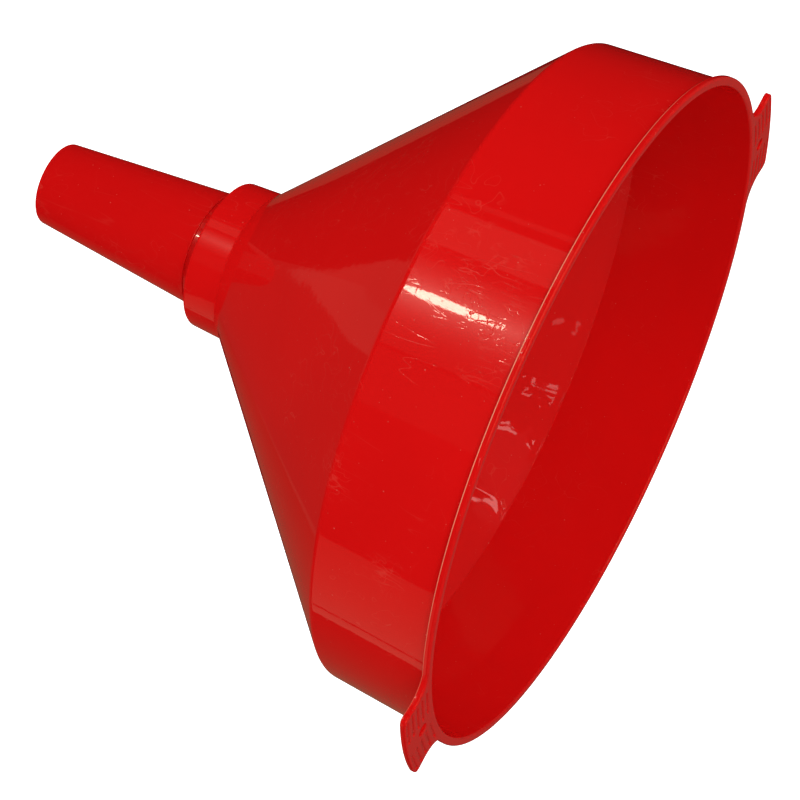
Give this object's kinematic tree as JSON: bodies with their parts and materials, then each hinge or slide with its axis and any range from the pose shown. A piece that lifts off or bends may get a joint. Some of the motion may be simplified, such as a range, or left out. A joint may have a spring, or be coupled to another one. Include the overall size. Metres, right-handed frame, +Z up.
{
  "type": "funnel",
  "caption": "Wide-mouth fuel funnel: a deep bowl with a beaded rim and two ribbed hanging ears, a push-in tapered spout and a lift-out strainer.",
  "frame": {"origin": "centre of the shoulder, the flat ring under the collar that rests on a filler neck", "axes": "+Z up the funnel's axis, out of the mouth; +X through the centre of an ear, and -X through the other"},
  "size_m": [0.279, 0.25, 0.2285],
  "materials": {
    "red_moulding": "glossy injection-moulded polyethylene, saturated red, fine curly scratches from handling",
    "spout_moulding": "the same glossy red polyethylene as the bowl",
    "seal_rubber": "matt black nitrile rubber",
    "strainer_plastic": "satin black moulded plastic",
    "gauze_wire": "plain-woven brass wire gauze"
  },
  "bodies": {
    "bowl_body": {"bowl": "red_moulding"},
    "spout_body": {"spout": "spout_moulding", "spout_seal": "seal_rubber"},
    "strainer_body": {"strainer_frame": "strainer_plastic", "strainer_gauze": "gauze_wire", "strainer_grip": "strainer_plastic"}
  },
  "joints": [
    {"name": "strainer_lift", "type": "slide", "parent": "bowl_body", "child": "strainer_body", "axis": [0, 0, 1], "range_m": [0, 0.16]},
    {"name": "spout_pull", "type": "slide", "parent": "bowl_body", "child": "spout_body", "axis": [0, 0, -1], "range_m": [0, 0.02]}
  ]
}
